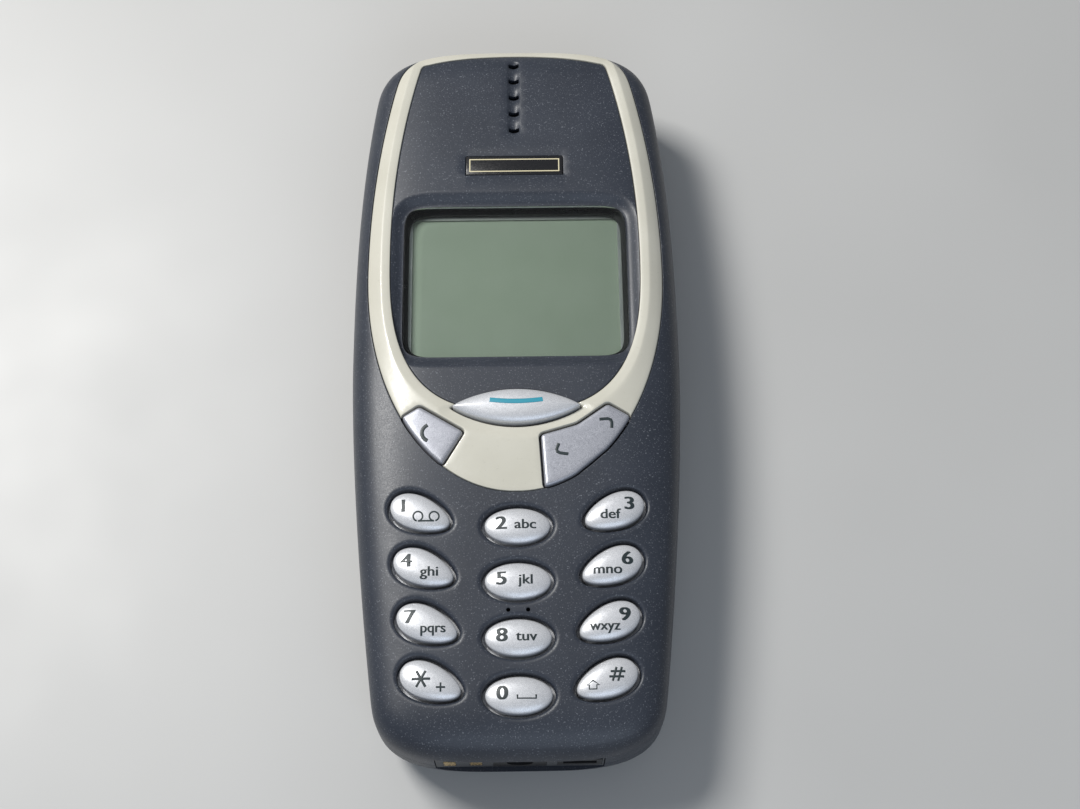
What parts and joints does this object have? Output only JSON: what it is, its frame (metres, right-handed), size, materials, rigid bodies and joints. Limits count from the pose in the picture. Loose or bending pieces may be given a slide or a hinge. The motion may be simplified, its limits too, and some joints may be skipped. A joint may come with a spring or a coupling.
{
  "type": "mobile phone",
  "caption": "Early candybar mobile phone with an oval key pad, a small window display, a ring round its face, lift-off covers and a clip-in battery.",
  "frame": {"origin": "under the middle of the phone, on the plane that its back rests on", "axes": "+Z out of the face, +Y along the phone to its earpiece, +X to the user's right"},
  "size_m": [0.0482, 0.1129, 0.022],
  "materials": {
    "navy_plastic": "fine spark texture, satin",
    "cream_plastic": "semi-gloss",
    "key_paint": "pearl paint, satin",
    "clear_window": "clear, polished",
    "display_glass": "satin, grey-green",
    "badge_black": "gloss",
    "black_rubber": "matte",
    "silicone": "matte, translucent",
    "clear_acrylic": "clear, moulded",
    "white_plastic": "satin",
    "dome_film": "thin steel domes under film",
    "led_white": "gloss",
    "grey_plastic": "fine texture",
    "black_plastic": "satin",
    "board_green": "solder mask, satin",
    "tinned_steel": "tinned, satin",
    "gold_contact": "gold plated",
    "tungsten": "sintered, satin",
    "battery_case": "fine texture",
    "label_paper": "printed film, matte",
    "card_plastic": "satin"
  },
  "bodies": {
    "chassis": {"chassis_frame": "grey_plastic", "chassis_screws": "tinned_steel", "main_board": "board_green", "rf_shield": "tinned_steel", "baseband_shield": "tinned_steel", "board_chips": "black_plastic", "keypad_mat": "silicone", "keypad_light_guide": "clear_acrylic", "dome_sheet": "dome_film", "backlight_leds": "led_white", "display_frame": "tinned_steel", "display_glass": "display_glass", "display_light_guide": "white_plastic", "zebra_connector": "black_rubber", "earpiece_speaker": "black_plastic", "earpiece_gasket": "black_rubber", "buzzer": "black_plastic", "microphone": "tinned_steel", "microphone_boot": "black_rubber", "vibra_motor": "tinned_steel", "antenna_carrier": "grey_plastic", "antenna_plate": "gold_contact", "power_switch": "tinned_steel", "charging_jack": "black_plastic", "charging_pin": "gold_contact", "headset_socket": "black_plastic", "charger_contacts": "gold_contact", "battery_contacts": "grey_plastic", "sim_reader": "black_plastic", "sim_hinge_pin": "tinned_steel", "release_spring": "tinned_steel"},
    "front_cover": {"front_cover": "navy_plastic", "bezel_ring": "cream_plastic", "display_window": "clear_window", "window_gasket": "black_rubber", "badge_plate": "badge_black"},
    "back_cover": {"back_cover": "navy_plastic"},
    "battery": {"battery_pack": "battery_case", "battery_label": "label_paper", "battery_terminals": "gold_contact"},
    "sim_flap": {"sim_holder": "tinned_steel", "sim_card": "card_plastic"},
    "power_button": {"power_button": "navy_plastic"},
    "release_button": {"release_button": "black_plastic"},
    "vibra_weight": {"vibra_weight": "tungsten"},
    "scroll_key": {"scroll_key": "key_paint"},
    "key_1": {"key_1": "key_paint"},
    "key_2": {"key_2": "key_paint"},
    "key_3": {"key_3": "key_paint"},
    "key_4": {"key_4": "key_paint"},
    "key_5": {"key_5": "key_paint"},
    "key_6": {"key_6": "key_paint"},
    "key_7": {"key_7": "key_paint"},
    "key_8": {"key_8": "key_paint"},
    "key_9": {"key_9": "key_paint"},
    "key_star": {"key_star": "key_paint"},
    "key_0": {"key_0": "key_paint"},
    "key_hash": {"key_hash": "key_paint"},
    "navi_key": {"navi_key": "key_paint"},
    "clear_key": {"clear_key": "key_paint"}
  },
  "joints": [
    {"name": "front_cover_lift", "type": "slide", "parent": "chassis", "child": "front_cover", "axis": [0, 0, 1], "range_m": [0, 0.03]},
    {"name": "back_cover_lift", "type": "slide", "parent": "chassis", "child": "back_cover", "axis": [0, 0, -1], "range_m": [0, 0.05]},
    {"name": "battery_lift", "type": "slide", "parent": "chassis", "child": "battery", "axis": [0, 0, -1], "range_m": [0, 0.04]},
    {"name": "sim_flap_hinge", "type": "hinge", "parent": "chassis", "child": "sim_flap", "pos_m": [0, -0.0295, 0.007], "axis": [1, 0, 0], "range_deg": [0, 58]},
    {"name": "release_button_press", "type": "slide", "parent": "chassis", "child": "release_button", "axis": [0, 0, 1], "range_m": [0, 0.0012], "stiffness_N_per_m": 800, "deforming": ["release_spring"]},
    {"name": "power_button_press", "type": "slide", "parent": "front_cover", "child": "power_button", "axis": [0, -1, 0], "range_m": [0, 0.0006], "stiffness_N_per_m": 1500},
    {"name": "vibra_weight_spin", "type": "hinge", "parent": "chassis", "child": "vibra_weight", "pos_m": [0.008, 0.034, 0.0146], "axis": [1, 0, 0], "continuous": true},
    {"name": "scroll_key_rock", "type": "hinge", "parent": "front_cover", "child": "scroll_key", "pos_m": [0.0096, -0.0116, 0.017], "axis": [-0.5299, 0.848, 0], "range_deg": [-3, 3], "stiffness_Nm_per_rad": 0.05},
    {"name": "key_1_press", "type": "slide", "parent": "front_cover", "child": "key_1", "axis": [0, 0, -1], "range_m": [0, 0.0008], "stiffness_N_per_m": 900},
    {"name": "key_2_press", "type": "slide", "parent": "front_cover", "child": "key_2", "axis": [0, 0, -1], "range_m": [0, 0.0008], "stiffness_N_per_m": 900},
    {"name": "key_3_press", "type": "slide", "parent": "front_cover", "child": "key_3", "axis": [0, 0, -1], "range_m": [0, 0.0008], "stiffness_N_per_m": 900},
    {"name": "key_4_press", "type": "slide", "parent": "front_cover", "child": "key_4", "axis": [0, 0, -1], "range_m": [0, 0.0008], "stiffness_N_per_m": 900},
    {"name": "key_5_press", "type": "slide", "parent": "front_cover", "child": "key_5", "axis": [0, 0, -1], "range_m": [0, 0.0008], "stiffness_N_per_m": 900},
    {"name": "key_6_press", "type": "slide", "parent": "front_cover", "child": "key_6", "axis": [0, 0, -1], "range_m": [0, 0.0008], "stiffness_N_per_m": 900},
    {"name": "key_7_press", "type": "slide", "parent": "front_cover", "child": "key_7", "axis": [0, 0, -1], "range_m": [0, 0.0008], "stiffness_N_per_m": 900},
    {"name": "key_8_press", "type": "slide", "parent": "front_cover", "child": "key_8", "axis": [0, 0, -1], "range_m": [0, 0.0008], "stiffness_N_per_m": 900},
    {"name": "key_9_press", "type": "slide", "parent": "front_cover", "child": "key_9", "axis": [0, 0, -1], "range_m": [0, 0.0008], "stiffness_N_per_m": 900},
    {"name": "key_star_press", "type": "slide", "parent": "front_cover", "child": "key_star", "axis": [0, 0, -1], "range_m": [0, 0.0008], "stiffness_N_per_m": 900},
    {"name": "key_0_press", "type": "slide", "parent": "front_cover", "child": "key_0", "axis": [0, 0, -1], "range_m": [0, 0.0008], "stiffness_N_per_m": 900},
    {"name": "key_hash_press", "type": "slide", "parent": "front_cover", "child": "key_hash", "axis": [0, 0, -1], "range_m": [0, 0.0008], "stiffness_N_per_m": 900},
    {"name": "navi_key_press", "type": "slide", "parent": "front_cover", "child": "navi_key", "axis": [0, 0, -1], "range_m": [0, 0.0008], "stiffness_N_per_m": 900},
    {"name": "clear_key_press", "type": "slide", "parent": "front_cover", "child": "clear_key", "axis": [0, 0, -1], "range_m": [0, 0.0008], "stiffness_N_per_m": 900}
  ],
  "couplings": [
    {"joint": "battery_lift", "follows": "back_cover_lift", "ratio": 0.8},
    {"joint": "sim_flap_hinge", "follows": "back_cover_lift", "rad_per_m": 20}
  ]
}
